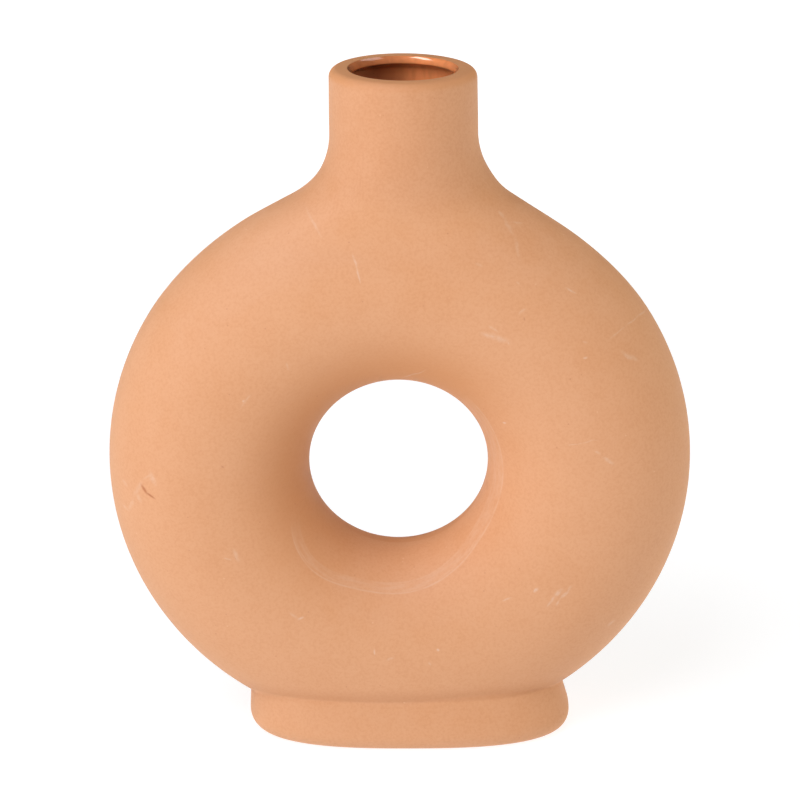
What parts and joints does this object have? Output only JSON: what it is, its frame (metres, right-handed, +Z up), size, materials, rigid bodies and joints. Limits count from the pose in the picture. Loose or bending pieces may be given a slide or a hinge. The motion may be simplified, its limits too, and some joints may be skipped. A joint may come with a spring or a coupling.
{
  "type": "vase",
  "caption": "Ring-shaped terracotta vase with a short round neck, sloping shoulders, an open hole through the middle and an oval foot; hollow, glossy glaze inside.",
  "frame": {"origin": "centre of the bounding box on the table plane, below the ring's centre", "axes": "+Z up through the neck, +X to the right across the ring, -Y towards the viewer, through the ring's hole"},
  "size_m": [0.2, 0.059, 0.2359],
  "materials": {
    "terracotta": "matte unglazed",
    "inner_glaze": "gloss"
  },
  "bodies": {
    "root": {"ring_front": "terracotta", "ring_back": "terracotta", "neck": "terracotta", "foot": "terracotta", "base_plate": "terracotta", "glaze_lining": "inner_glaze"}
  },
  "joints": []
}
